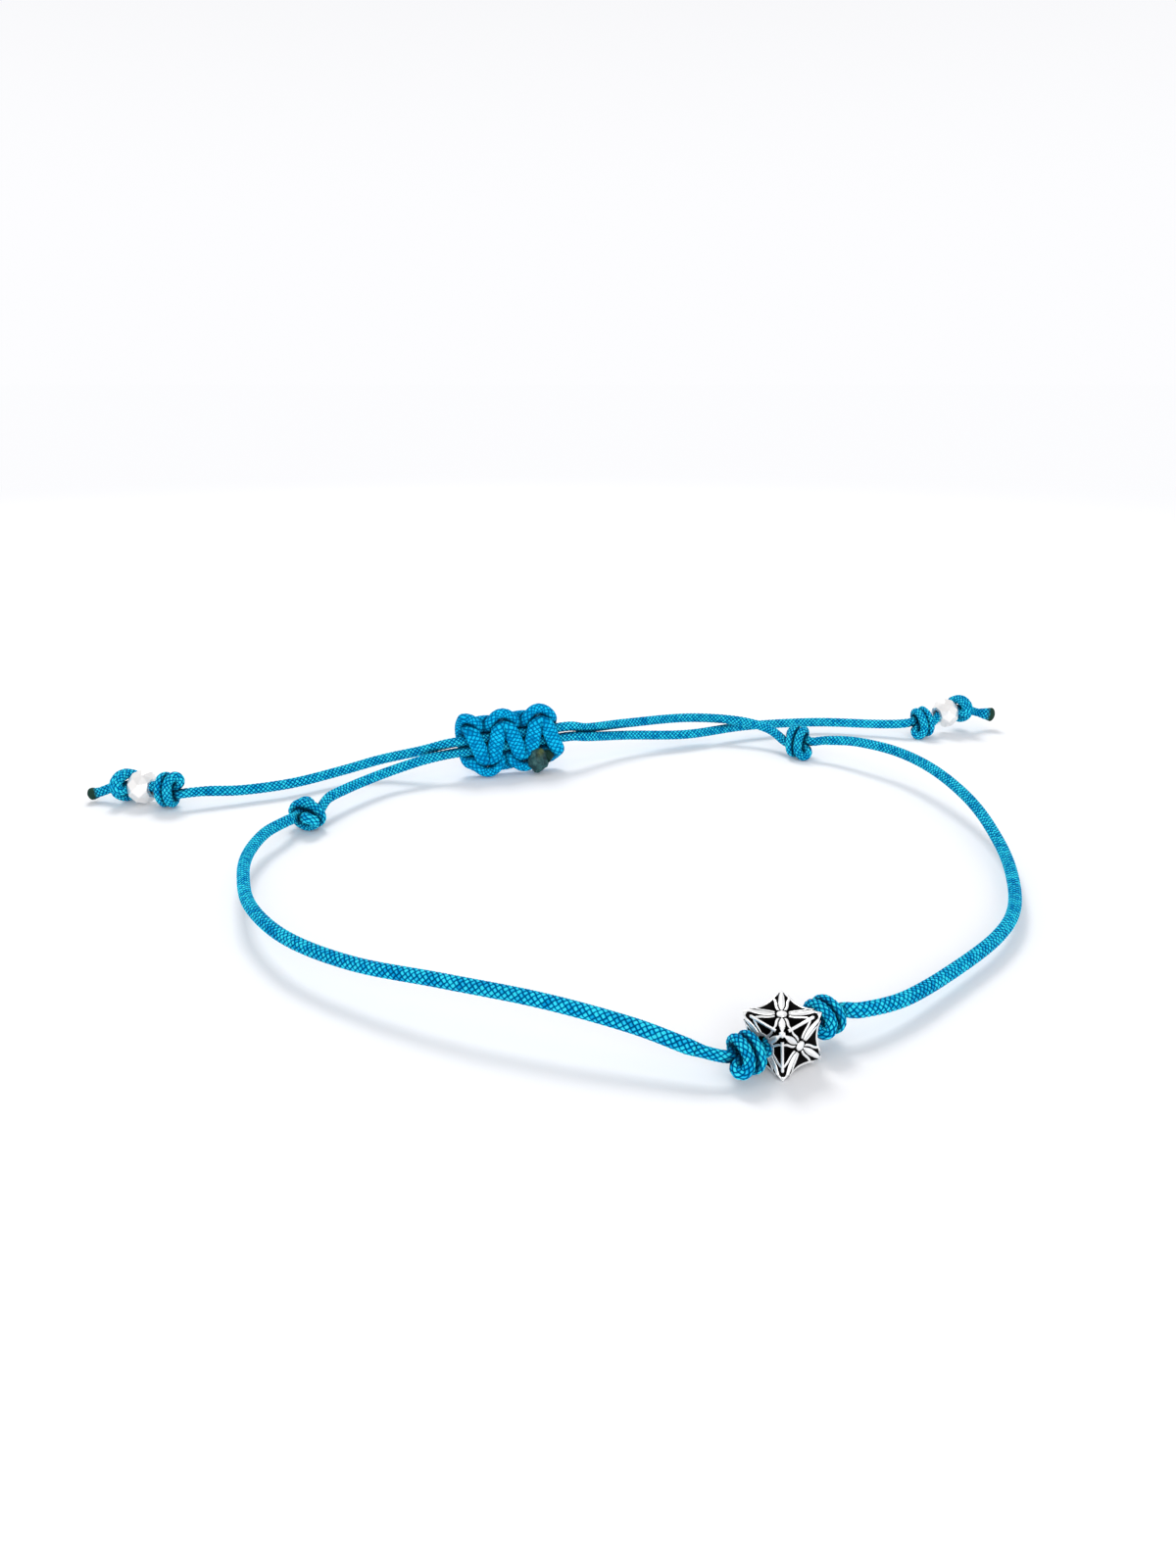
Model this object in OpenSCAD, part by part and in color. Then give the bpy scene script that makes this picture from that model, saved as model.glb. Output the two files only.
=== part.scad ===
// Adjustable bracelet of braided cord with a pierced cube bead, lying on a surface.
// Millimetres. X runs to the right, Y away from the viewer, Z up. The origin is the
// middle of the wrist opening, on the surface.

/* [Cord] */
// Diameter of the braided cord
cord_d = 1.0; // [0.8:0.05:1.0]
// Gap between two pieces that meet on the cord
joint_gap = 0.06; // [0.02:0.01:0.1]
// Diameter of the melted tips
tip_d = 1.16; // [1.0:0.02:1.2]

/* [Overhand knots] */
// Distance between strands that touch in a tight knot
knot_pitch = 0.9; // [0.9:0.01:1.0]
// Diameter of the squeezed cord in a knot
knot_cord_d = 0.82; // [0.7:0.02:0.82]
// Size of the tighter knots beside the cube bead
bead_knot_size = 0.82; // [0.8:0.02:1.0]
// Length of the end knots, pushed up against the end beads
end_knot_length = 0.9; // [0.9:0.02:1.0]
// Diameter of the squeezed cord in an end knot
end_knot_cord_d = 0.78; // [0.7:0.02:0.78]
// Length of the tip knots, pressed flat against the end beads
tip_knot_length = 0.72; // [0.7:0.02:1.0]
// Diameter of the squeezed cord in a tip knot
tip_knot_cord_d = 0.64; // [0.56:0.02:0.64]

/* [Sliding knot] */
// Number of half knots
half_knots = 5; // [3:1:5]
// Length of one half knot along the strands
half_knot_l = 2.0; // [2.0:0.05:2.2]
// Height of the sliding knot between the middles of its outer loops
slide_h = 6.1; // [5.6:0.1:6.2]
// Distance between the two strands inside the sliding knot
strand_gap = 1.1; // [1.05:0.05:1.2]
// Diameter of the wrapping cord
wrap_d = 0.78; // [0.7:0.02:0.78]
// Width of the wrapping cord where it lies flat across the strands
wrap_w = 1.4; // [1.0:0.1:1.5]

/* [Cube bead] */
// Outer edge of the cube bead
cube_a = 3.3; // [3.2:0.1:3.6]
// Depth by which each face is dished between its corners
dish = 0.16; // [0.1:0.02:0.2]
// Wall thickness of the cube bead
cube_wall = 0.4; // [0.3:0.05:0.5]
// Hole for the cord through the cube bead
cube_bore = 1.3; // [1.2:0.05:1.4]
// Radius of the round boss in the middle of each flower
boss_r = 0.34; // [0.3:0.02:0.4]
// Height of the raised petals above the face
relief = 0.1; // [0.06:0.01:0.14]

/* [End beads] */
// Diameter of the faceted end beads
end_bead_d = 3.5; // [3.0:0.1:3.6]
// Length of the faceted end beads along the cord
end_bead_l = 2.5; // [2.2:0.1:2.6]
// Hole for the cord through an end bead
end_bead_bore = 1.34; // [1.2:0.05:1.4]
// Number of facets round an end bead
facets = 8; // [8:1:12]

/* [Hidden] */
sides = 8;
cord_colour = "#1496c4";
silver_colour = "#d8d8d4";

// Where the pieces on the cord sit: [centre, yaw, pitch, roll], with X along the cord.
// Overhand knots also have a hand, 1 or -1.
cube_at = [[8.5, -29.6, 1.77], 37, 5, 0];
end_bead_left_at = [[-47.3, 16.2, 1.76], -22, 0, 0];
end_bead_right_at = [[38.5, 40.3, 2.4], 25, 8, 0];
slide_at = [[-11.5, 26.07, 3.53], 18.6, 2.7, -12];
tip_knot_left_at = [[-49.72, 17.18, 1.45], -22, 0, 165, 1];
end_knot_left_at = [[-44.48, 15.06, 1.85], -14, 0, 285, -1];
stopper_knot_right_at = [[19.75, 31.25, 1.7], -40, 0, 230, 1];
bead_knot_right_at = [[11.1, -27.66, 2.0], 217, -5, 180, -1];
bead_knot_left_at = [[5.78, -31.44, 1.5], 210, 0, 170, -1];
stopper_knot_left_at = [[-29.7, 9.6, 1.45], 66, 0, 10, 1];
end_knot_right_at = [[35.5, 38.91, 1.66], 22, 6, 220, -1];
tip_knot_right_at = [[40.87, 41.4, 2.73], 24, 6, 165, -1];

// Places a point, or a shape, by one of the entries above
function roll(v, a) = [v[0], v[1] * cos(a) - v[2] * sin(a), v[1] * sin(a) + v[2] * cos(a)];
function pitch(v, a) = [v[0] * cos(a) - v[2] * sin(a), v[1], v[0] * sin(a) + v[2] * cos(a)];
function yaw(v, a) = [v[0] * cos(a) - v[1] * sin(a), v[0] * sin(a) + v[1] * cos(a), v[2]];
function put(v, at) = at[0] + yaw(pitch(roll(v, at[3]), at[2]), at[1]);
module put(at) translate(at[0]) rotate([0, 0, at[1]]) rotate([0, -at[2], 0]) rotate([at[3], 0, 0]) children();

// Half of an overhand knot, in strand distances: the cord runs in through the middle and
// turns back outwards into the wrap. The other half is the same turned over.
core = [[-1.75, 0.35, 0], [-0.9, 0.52, 0], [0.2, 0.52, 0], [1.0, 0.52, 0.1], [1.55, 0.8, 0.3], [1.6, 1.35, 0.4], [1.2, 1.7, 0.15]];
core_back = [for (i = [len(core) - 1:-1:0]) [-core[i][0], -core[i][1], core[i][2]]];
// The wrap goes one and a half turns round both strands of the middle
wrap_y = 1.54;
wrap_z = 1.08;
wrap_lead = 1.08;
wrap = [for (a = [30:48:510]) [(270 - a) / 360 * wrap_lead, wrap_y * cos(a), -wrap_z * sin(a)]];
function overhand(at, size = 1, length = 1) =
    [for (p = concat(core, wrap, core_back)) put(size * knot_pitch * [length * p[0], at[4] * p[1], p[2]], at)];

// A strand through the sliding knot, from its left end to its right end
slide_l = half_knots * half_knot_l;
function through(side) = [for (x = [-1:0.5:1]) put([x * (slide_l / 2 + 1.6) - 0.2, 0, side * strand_gap / 2], slide_at)];

// The whole cord from its left tip to its right tip. The free stretches are points chosen
// by hand. A stretch ends where the next one starts.
CORD = [
    // 0 left tip
    [[-53.15, 16.6, 0.75], [-51.9, 17.0, 0.95]],
    // 1 tip_knot_left
    overhand(tip_knot_left_at, 1, tip_knot_length),
    // 2 through the left end bead
    [[-47.9, 16.44, 1.72], [-46.7, 15.96, 1.78]],
    // 3 end_knot_left
    overhand(end_knot_left_at, 1, end_knot_length),
    // 4 cord_to_left_end
    concat([[-41.0, 15.6, 1.5], [-37.6, 16.8, 1.2], [-33.2, 18.9, 1.2], [-28.9, 22.2, 1.4], [-25.2, 24.0, 2.0], [-20.9, 23.9, 3.0]],
           through(1),
           [[-3.5, 29.9, 3.7], [0.8, 33.0, 3.3], [7.7, 36.8, 2.8], [13.3, 36.5, 2.6], [16.8, 34.6, 2.2]]),
    // 5 stopper_knot_right
    overhand(stopper_knot_right_at),
    // 6 loop_cord_right
    [[22.7, 29.7, 2.3], [25.4, 27.2, 2.9], [28.6, 22.8, 3.2], [30.8, 16.6, 3.2], [32.2, 9.2, 2.6], [32.4, 2.0, 1.6],
     [31.4, -4.4, 1.2], [29.4, -10.6, 1.2], [26.6, -15.2, 1.2], [22.2, -20.0, 1.2], [17.6, -24.4, 1.4], [14.2, -26.6, 1.8]],
    // 7 bead_knot_right
    overhand(bead_knot_right_at, bead_knot_size),
    // 8 bead_cord
    [[9.4, -28.92, 1.88], [7.6, -30.28, 1.68]],
    // 9 bead_knot_left
    overhand(bead_knot_left_at, bead_knot_size),
    // 10 loop_cord_left
    [[3.0, -31.4, 1.9], [-0.8, -30.0, 2.7], [-6.5, -28.0, 3.3], [-13.0, -25.5, 3.3], [-19.5, -22.2, 2.8], [-25.0, -18.0, 2.6],
     [-29.0, -12.4, 2.4], [-31.2, -6.4, 2.2], [-32.2, -1.4, 2.0], [-32.0, 3.2, 2.0], [-31.0, 6.6, 1.8]],
    // 11 stopper_knot_left
    overhand(stopper_knot_left_at),
    // 12 cord_to_right_end
    concat([[-28.3, 12.6, 1.9], [-27.1, 15.2, 1.9], [-25.4, 18.0, 1.9], [-23.4, 20.5, 2.0], [-20.6, 22.5, 2.4]],
           through(-1),
           [[-3.5, 29.2, 2.9], [0.9, 32.3, 2.1], [7.7, 34.6, 1.5], [14.8, 38.2, 1.4], [23.1, 40.4, 1.2], [29.8, 39.4, 1.3], [32.6, 38.7, 1.5]]),
    // 13 end_knot_right
    overhand(end_knot_right_at, 1, end_knot_length),
    // 14 through the right end bead
    [[37.9, 40.02, 2.32], [39.1, 40.58, 2.48]],
    // 15 tip_knot_right
    overhand(tip_knot_right_at, 1, tip_knot_length),
    // 16 right tip
    [[43.2, 42.1, 2.25], [44.9, 41.9, 2.0]],
];

// A smooth curve through points 1 to n - 2 of p, with two pieces between each pair
function span(a, b, c, d, t) = 0.5 * (2 * b + (c - a) * t + (2 * a - 5 * b + 4 * c - d) * t * t + (3 * b - a - 3 * c + d) * t * t * t);
function curve(p) = let (n = len(p))
    concat([for (i = [1:n - 3]) for (t = [0, 0.5]) span(p[i - 1], p[i], p[i + 1], p[i + 2], t)],
           [span(p[n - 4], p[n - 3], p[n - 2], p[n - 1], 1 - joint_gap / norm(p[n - 2] - p[n - 3]))]);

// The points that steer stretches a to b of the cord, and their centre line
function flat(a, b) = [for (k = [a:b]) each CORD[k]];
function steer(a, b) = let (p = flat(a, b), n = len(p), before = a > 0 ? CORD[a - 1] : [2 * p[0] - p[1]])
    concat([before[len(before) - 1]], p, b < len(CORD) - 1 ? [CORD[b + 1][0], CORD[b + 1][1]] : [2 * p[n - 1] - p[n - 2]]);
function stretch(a, b) = curve(steer(a, b));
function ends(a, b) = let (c = steer(a, b), n = len(c)) [c[2] - c[0], c[n - 1] - c[n - 3]];

// Directions along a centre line, and a normal carried along it without twist
function unit(v) = v / norm(v);
function along(p, e) = let (n = len(p))
    [for (i = [0:n - 1]) unit(i == 0 ? e[0] : i == n - 1 ? e[1] : p[i + 1] - p[i - 1])];
function side(v, t) = unit(v - (v * t) * t);
function carried(t, v, i = 0) = i == len(t) ? [] : let (s = side(v, t[i])) concat([s], carried(t, s, i + 1));

// A closed tube along a centre line, with one radius for each of its points. It can be
// widened along an axis that the cord lies across.
module tube(p, radii, ends, axis = [1, 0, 0], widen = []) {
    t = along(p, ends);
    u = carried(t, cross(t[0], [0.1, 0.2, 1]));
    n = len(p);
    points = [for (i = [0:n - 1]) for (k = [0:sides - 1])
        let (a = 360 * k / sides, o = radii[i] * (cos(a) * u[i] + sin(a) * cross(t[i], u[i])), e = side(axis, t[i]))
        p[i] + o + (len(widen) ? widen[i] * (o * e) * e : [0, 0, 0])];
    walls = [for (i = [0:n - 2]) for (k = [0:sides - 1])
        let (a = i * sides + k, b = i * sides + (k + 1) % sides) each [[a, a + sides, b], [b, a + sides, b + sides]]];
    polyhedron(points, concat(walls, [[for (k = [0:sides - 1]) k]], [[for (k = [sides - 1:-1:0]) (n - 1) * sides + k]]), convexity = 8);
}

module cord_piece(a, b, d) {
    p = stretch(a, b);
    color(cord_colour) tube(p, [for (q = p) d / 2], ends(a, b));
}

// A knot outside an end bead, with the stretch through the bead, the tail and its melted tip
module tip_piece(a, b, tip) {
    p = stretch(a, b);
    color(cord_colour) tube(p, [for (q = p) let (far = norm(q - tip)) (far < 0.5 ? tip_d : far < 1.7 ? 0.9 * cord_d : tip_knot_cord_d) / 2], ends(a, b));
}

module loop_cord_left() cord_piece(10, 10, cord_d);
module loop_cord_right() cord_piece(6, 6, cord_d);
module cord_to_right_end() cord_piece(12, 12, cord_d);
module cord_to_left_end() cord_piece(4, 4, cord_d);
module bead_cord() cord_piece(8, 8, cord_d);
module bead_knot_left() cord_piece(9, 9, bead_knot_size * knot_cord_d);
module bead_knot_right() cord_piece(7, 7, bead_knot_size * knot_cord_d);
module stopper_knot_left() cord_piece(11, 11, knot_cord_d);
module stopper_knot_right() cord_piece(5, 5, knot_cord_d);
module end_knot_left() cord_piece(3, 3, end_knot_cord_d);
module end_knot_right() cord_piece(13, 13, end_knot_cord_d);
module tip_knot_left() tip_piece(0, 2, CORD[0][0]);
module tip_knot_right() tip_piece(14, 16, CORD[16][1]);

// The wrapping cord at half knot t. It swings from the top to the bottom and back, and is
// in front of the strands on one side of its swing and behind them on the other.
slant = 0.45;
loop_w = 0.5;
function smooth(x) = let (c = min(max(x, 0), 1)) c * c * (3 - 2 * c);
function wrap_point(t, s) = let (c = cos(180 * t), out = smooth((c * c - 0.1) / 0.6))
    [half_knot_l * (t + slant * sin(360 * t)) - slide_l / 2, s * (1 - out * (1 + loop_w)), s * slide_h / 2 * c];
// Its middle passes behind both strands at the left end
wrap_join = let (x = -slide_l / 2, h = slide_h / 2)
    [[x - 0.4, -0.1, 0.92 * h], [x - 0.6, 0.6, 0.7 * h], [x - 0.6, 1, 0.3 * h], [x - 0.5, 1, -0.3 * h], [x - 0.2, 0.85, -0.72 * h],
     [x + 0.35, 0.6, -0.93 * h]];
// Its melted end comes out in front at the right
wrap_end = let (q = wrap_point(half_knots - 0.25, 1)) [q + [-0.7, -1.12, -0.62], q + [-0.52, -0.92, -0.5], q + [-0.22, -0.52, -0.3]];
end_radii = [0.45, 0.6, 0.48];
module sliding_knot() {
    line = concat(wrap_end, [for (i = [12 * half_knots - 3:-1:0]) wrap_point(i / 12, 1)], wrap_join,
                  [for (i = [2:12 * half_knots - 2]) wrap_point(i / 12, -1)]);
    n = len(line);
    p = [for (q = line) put(q, slide_at)];
    axis = put([1, 0, 0], slide_at) - slide_at[0];
    widen = [for (q = line) (wrap_w / wrap_d - 1) * smooth(1.6 - 3.2 * abs(q[2]) / slide_h)];
    color(cord_colour) tube(p, [for (i = [0:n - 1]) i < 3 ? end_radii[i] : wrap_d / 2], [p[1] - p[0], p[n - 1] - p[n - 2]], axis, widen);
}

// Outline of the cube bead along each axis: a square with hollow sides and blunt corners
module hollow_square(a) {
    h = a / 2;
    side = [for (y = [-0.94:0.235:0.94]) [h - dish * (1 - y * y), y * h]];
    polygon([for (q = [0:3]) each [for (p = side) let (v = yaw([p[0], p[1], 0], 90 * q)) [v[0], v[1]]]]);
}

// One cell cut through a face between two arms of the flower
module cell(inner) polygon([[inner, 0], [1.0, 0.46], [1.32, 0.36], [1.32, -0.36], [1.0, -0.46]]);
module petals() {
    for (q = [45:90:315]) rotate(q) {
        polygon([[0.3, 0], [0.8, 0.13], [1.5, 0.19], [1.9, 0], [1.5, -0.19], [0.8, -0.13]]);
        for (m = [-1, 1]) polygon([[0.62, m * 0.14], [1.3, m * 0.3], [1.46, m * 0.4], [1.2, m * 0.38]]);
    }
}
face_z = cube_a / 2 - dish;
flower_faces = [[0, 0, 0], [90, 0, 0], [180, 0, 0], [270, 0, 0]];
bore_faces = [[0, 90, 0], [0, -90, 0]];

module cube_bead() color(silver_colour) put(cube_at) {
    difference() {
        intersection() {
            translate([0, 0, -cube_a / 2]) linear_extrude(cube_a) hollow_square(cube_a);
            rotate([90, 0, 0]) translate([0, 0, -cube_a / 2]) linear_extrude(cube_a) hollow_square(cube_a);
            rotate([0, 90, 0]) translate([0, 0, -cube_a / 2]) linear_extrude(cube_a) hollow_square(cube_a);
        }
        cube(2 * (face_z - cube_wall), center = true);
        rotate([0, 90, 0]) cylinder(h = cube_a + 1, d = cube_bore, center = true, $fn = 48);
        for (f = flower_faces) rotate(f) for (q = [0:90:270]) rotate(q)
            translate([0, 0, face_z - cube_wall - 0.1]) linear_extrude(cube_wall + 0.4) cell(0.5);
        for (f = bore_faces) rotate(f) for (q = [0:90:270]) rotate(q)
            translate([0, 0, face_z - cube_wall - 0.1]) linear_extrude(cube_wall + 0.4) cell(0.82);
    }
    for (f = flower_faces) rotate(f) {
        translate([0, 0, face_z - 0.12]) linear_extrude(0.12 + relief) petals();
        translate([0, 0, face_z - 0.3]) cylinder(h = 0.3 + 2 * relief, r = boss_r, $fn = 48);
    }
}

// Rings of corners of a faceted bead: distance along it and radius, in half lengths and half diameters
bead_rings = [[-1, 0.56], [-0.5, 0.92], [0, 1], [0.5, 0.92], [1, 0.56]];
module end_bead() {
    n = len(bead_rings);
    points = [for (i = [0:n - 1]) for (k = [0:facets - 1]) let (a = 360 * (k + i % 2 / 2) / facets, r = bead_rings[i][1] * end_bead_d / 2)
        [bead_rings[i][0] * end_bead_l / 2, r * cos(a), r * sin(a)]];
    walls = [for (i = [0:n - 2]) for (k = [0:facets - 1])
        let (a = i * facets + k, b = i * facets + (k + 1) % facets, up = facets)
        each i % 2 == 0 ? [[a, a + up, b], [b, a + up, b + up]] : [[a, a + up, b + up], [a, b + up, b]]];
    difference() {
        polyhedron(points, concat(walls, [[for (k = [0:facets - 1]) k]], [[for (k = [facets - 1:-1:0]) (n - 1) * facets + k]]), convexity = 4);
        rotate([0, 90, 0]) cylinder(h = end_bead_l + 1, d = end_bead_bore, center = true, $fn = 48);
    }
}
module end_bead_left() color(silver_colour) put(end_bead_left_at) end_bead();
module end_bead_right() color(silver_colour) put(end_bead_right_at) end_bead();

loop_cord_left();
loop_cord_right();
cord_to_right_end();
cord_to_left_end();
bead_cord();
bead_knot_left();
bead_knot_right();
stopper_knot_left();
stopper_knot_right();
end_knot_left();
end_knot_right();
tip_knot_left();
tip_knot_right();
sliding_knot();
cube_bead();
end_bead_left();
end_bead_right();
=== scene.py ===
import math

import bmesh
import bpy
import numpy as np
from mathutils import Matrix, Vector, kdtree, noise


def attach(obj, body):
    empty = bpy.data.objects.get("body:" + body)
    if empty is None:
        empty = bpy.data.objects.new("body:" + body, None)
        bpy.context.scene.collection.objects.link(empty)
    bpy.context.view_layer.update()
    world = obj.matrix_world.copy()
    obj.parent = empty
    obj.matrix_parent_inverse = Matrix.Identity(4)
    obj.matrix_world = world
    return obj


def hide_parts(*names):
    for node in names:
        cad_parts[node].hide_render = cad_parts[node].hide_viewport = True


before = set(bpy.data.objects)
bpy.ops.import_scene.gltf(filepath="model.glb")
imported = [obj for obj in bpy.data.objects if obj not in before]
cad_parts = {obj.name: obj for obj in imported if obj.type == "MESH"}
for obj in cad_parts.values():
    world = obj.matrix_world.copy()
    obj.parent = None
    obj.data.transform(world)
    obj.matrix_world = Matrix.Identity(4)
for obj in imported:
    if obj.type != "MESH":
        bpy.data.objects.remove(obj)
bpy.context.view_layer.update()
scene = bpy.context.scene

# Camera
# The photograph is taken close up from the front, about 20 degrees above the surface,
# with a wide view, so the beads at the front look much larger than the knots at the back.
camera = bpy.data.objects.new("camera", bpy.data.cameras.new("camera"))
camera.data.sensor_width = 36
camera.data.lens = 27
camera.data.clip_start = 0.005
camera.data.clip_end = 10
camera.location = (-0.0035, -0.0930, 0.0407)
camera.rotation_euler = (math.radians(70.5), 0, 0)
scene.collection.objects.link(camera)
scene.camera = camera

# The long cord
# One round braided nylon cord, 1 mm thick, that runs from the left tip through every knot
# and bead to the right tip. It is pulled thinner in its knots, and both tips are melted shut.
MM = 0.001
CORD_D = 1.0
KNOT_CORD_D = 0.93
KNOT_PITCH = 0.9
KNOT_COIL_L, KNOT_COIL_W, KNOT_COIL_H = 1.08, 1.54, 1.08
BEAD_KNOT_SIZE = 0.82
END_KNOT_L = 0.9
TIP_KNOT_SIZE = 1.18
TIP_KNOT_L = 0.34
STRAND_HALF_L, STRAND_SHIFT, STRAND_APART = 6.6, 0.2, 0.55

# Where the pieces on the cord sit, in millimetres and degrees: centre, yaw, pitch and roll,
# and for a knot its hand
CUBE_AT = ((8.5, -29.6, 1.77), 37, 5, 0)
END_BEAD_LEFT_AT = ((-47.3, 16.2, 1.76), -22, 0, 0)
END_BEAD_RIGHT_AT = ((38.5, 40.3, 2.4), 25, 8, 0)
SLIDE_AT = ((-11.5, 26.07, 3.53), 18.6, 2.7, -12)
TIP_KNOT_LEFT_AT = ((-49.25, 17.0, 1.65), -22, 0, 165, 1)
END_KNOT_LEFT_AT = ((-44.48, 15.06, 1.85), -14, 0, 285, -1)
STOPPER_KNOT_RIGHT_AT = ((19.75, 31.25, 1.7), -40, 0, 230, 1)
BEAD_KNOT_RIGHT_AT = ((11.5, -27.6, 1.95), 217, -5, 180, -1)
BEAD_KNOT_LEFT_AT = ((6.07, -31.24, 1.5), 210, 0, 170, -1)
STOPPER_KNOT_LEFT_AT = ((-29.7, 9.6, 1.45), 66, 0, 10, 1)
END_KNOT_RIGHT_AT = ((35.5, 38.91, 1.66), 22, 6, 220, -1)
TIP_KNOT_RIGHT_AT = ((40.4, 41.2, 2.65), 24, 6, 165, -1)


def turned(at):
    """The turn of one of the entries above."""
    yaw, pitch, roll = (math.radians(degrees) for degrees in at[1:4])
    return Matrix.Rotation(yaw, 3, "Z") @ Matrix.Rotation(-pitch, 3, "Y") @ Matrix.Rotation(roll, 3, "X")


def put(point, at):
    """A point beside one of the entries above, placed by it."""
    return tuple(Vector(at[0]) + turned(at) @ Vector(point))


def overhand(at, size=1, length=1):
    """The cord through an overhand knot: in through its middle, round both strands, and out."""
    into = [(-1.75, 0.35, 0), (-0.9, 0.52, 0), (0.2, 0.52, 0), (1.0, 0.52, 0.1), (1.55, 0.8, 0.3),
            (1.6, 1.35, 0.4), (1.2, 1.7, 0.15)]
    coil = [((270 - a) / 360 * KNOT_COIL_L, KNOT_COIL_W * math.cos(math.radians(a)),
             -KNOT_COIL_H * math.sin(math.radians(a))) for a in range(30, 511, 48)]
    out = [(-x, -y, z) for x, y, z in reversed(into)]
    hand = at[4]
    return [put([size * KNOT_PITCH * v for v in (length * x, hand * y, z)], at) for x, y, z in into + coil + out]


def through(side):
    """A strand through the sliding knot from left to right, above the other for side 1, below for -1."""
    places = (-1, -0.5, 0, 0.5, 1)
    return [put((x * STRAND_HALF_L - STRAND_SHIFT, 0, side * STRAND_APART), SLIDE_AT) for x in places]


# The cord's route in millimetres, from its left tip to its right tip
cord_route = {
    "tip_knot_left": [
        (-53.15, 16.6, 0.75), (-51.9, 17.0, 0.95), *overhand(TIP_KNOT_LEFT_AT, TIP_KNOT_SIZE, TIP_KNOT_L),
        (-47.9, 16.44, 1.72), (-46.7, 15.96, 1.78)],
    "end_knot_left": overhand(END_KNOT_LEFT_AT, 1, END_KNOT_L),
    "cord_to_left_end": [
        (-41.0, 15.6, 1.5), (-37.6, 16.8, 1.2), (-33.2, 18.9, 1.2), (-28.9, 22.2, 1.4), (-25.2, 24.0, 2.0),
        (-20.9, 23.9, 3.0), *through(1), (-3.5, 29.9, 3.7), (0.8, 33.0, 3.3), (7.7, 36.8, 2.8),
        (13.3, 36.5, 2.6), (16.8, 34.6, 2.2)],
    "stopper_knot_right": overhand(STOPPER_KNOT_RIGHT_AT),
    "loop_cord_right": [
        (22.7, 29.7, 2.3), (25.4, 27.2, 2.9), (28.6, 22.8, 3.2), (30.8, 16.6, 3.2), (32.2, 9.2, 2.6),
        (32.4, 2.0, 1.6), (31.4, -4.4, 1.2), (29.4, -10.6, 1.2), (26.6, -15.2, 1.2), (22.2, -20.0, 1.2),
        (17.6, -24.4, 1.4), (14.2, -26.6, 1.8)],
    "bead_knot_right": overhand(BEAD_KNOT_RIGHT_AT, BEAD_KNOT_SIZE),
    "bead_cord": [(9.6, -28.8, 1.88), (7.9, -30.05, 1.68)],
    "bead_knot_left": overhand(BEAD_KNOT_LEFT_AT, BEAD_KNOT_SIZE),
    "loop_cord_left": [
        (3.0, -31.4, 1.9), (-0.8, -30.0, 2.7), (-6.5, -28.0, 3.3), (-13.0, -25.5, 3.3), (-19.5, -22.2, 2.8),
        (-25.0, -18.0, 2.6), (-29.0, -12.4, 2.4), (-31.2, -6.4, 2.2), (-32.2, -1.4, 2.0), (-32.0, 3.2, 2.0),
        (-31.0, 6.6, 1.8)],
    "stopper_knot_left": overhand(STOPPER_KNOT_LEFT_AT),
    "cord_to_right_end": [
        (-28.3, 12.6, 1.9), (-27.1, 15.2, 1.9), (-25.4, 18.0, 1.9), (-23.4, 20.5, 2.0), (-20.6, 22.5, 2.4),
        *through(-1), (-3.5, 29.2, 2.9), (0.9, 32.3, 2.1), (7.7, 34.6, 1.5), (14.8, 38.2, 1.4),
        (23.1, 40.4, 1.2), (29.8, 39.4, 1.3), (32.6, 38.7, 1.5)],
    "end_knot_right": overhand(END_KNOT_RIGHT_AT, 1, END_KNOT_L),
    "tip_knot_right": [
        (37.9, 40.02, 2.32), (39.1, 40.58, 2.48), *overhand(TIP_KNOT_RIGHT_AT, TIP_KNOT_SIZE, TIP_KNOT_L),
        (42.6, 41.9, 2.05), (44.9, 41.9, 1.65)],
}
LINE_STEP = 0.08


def smooth_line(points, step, marks=()):
    """Points a step apart on a smooth curve through points, and the distance of each along it.

    The third result is the distance of each mark, where a mark is a point's number.
    """
    per_span = 24
    p = np.array(points, float)
    p = np.vstack([2 * p[0] - p[1], p, 2 * p[-1] - p[-2]])
    t = np.linspace(0, 1, per_span, endpoint=False)[:, None]
    fine = [0.5 * (2 * b + (c - a) * t + (2 * a - 5 * b + 4 * c - d) * t * t + (3 * b - a - 3 * c + d) * t ** 3)
            for a, b, c, d in zip(p, p[1:], p[2:], p[3:])]
    fine = np.vstack(fine + [p[-2:-1]])
    far = np.concatenate([[0], np.cumsum(np.linalg.norm(np.diff(fine, axis=0), axis=1))])
    even = np.linspace(0, far[-1], int(round(far[-1] / step)) + 1)
    line = np.stack([np.interp(even, far, fine[:, k]) for k in range(3)], 1)
    return line, even, [far[per_span * mark] for mark in marks]


def directions(line):
    """The direction of a line at each of its points."""
    ahead = np.gradient(line, axis=0)
    return ahead / np.linalg.norm(ahead, axis=1)[:, None]


def carried_sides(line):
    """Two sides of a line at each of its points, square to it and carried along without twist."""
    ahead = directions(line)
    sides = np.zeros_like(line)
    side = np.cross(ahead[0], (0.1, 0.2, 1.0))
    for i, way in enumerate(ahead):
        side = side - side.dot(way) * way
        side /= np.linalg.norm(side)
        sides[i] = side
    return sides, np.cross(ahead, sides)


# The braid has seven grains round it. A yarn shows as a slanting grain where it lies over
# the other way's yarn, and dips under at the grain's ends.
GRAINS_ROUND = 7
GRAIN_L = 0.45
BRAID_RELIEF = 0.05
BRAID_MIDDLE = 0.55
POINTS_ROUND = 32

# How far apart two stretches of cord are, along it and between their middles, to be neighbours
# in a knot, and where painted shade starts to darken the crease between them
OTHER_STRETCH = 1.7
NEIGHBOUR = 1.6
CREASE_SHADE_START, CREASE_SHADE_W = 1.12, 0.5


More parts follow.
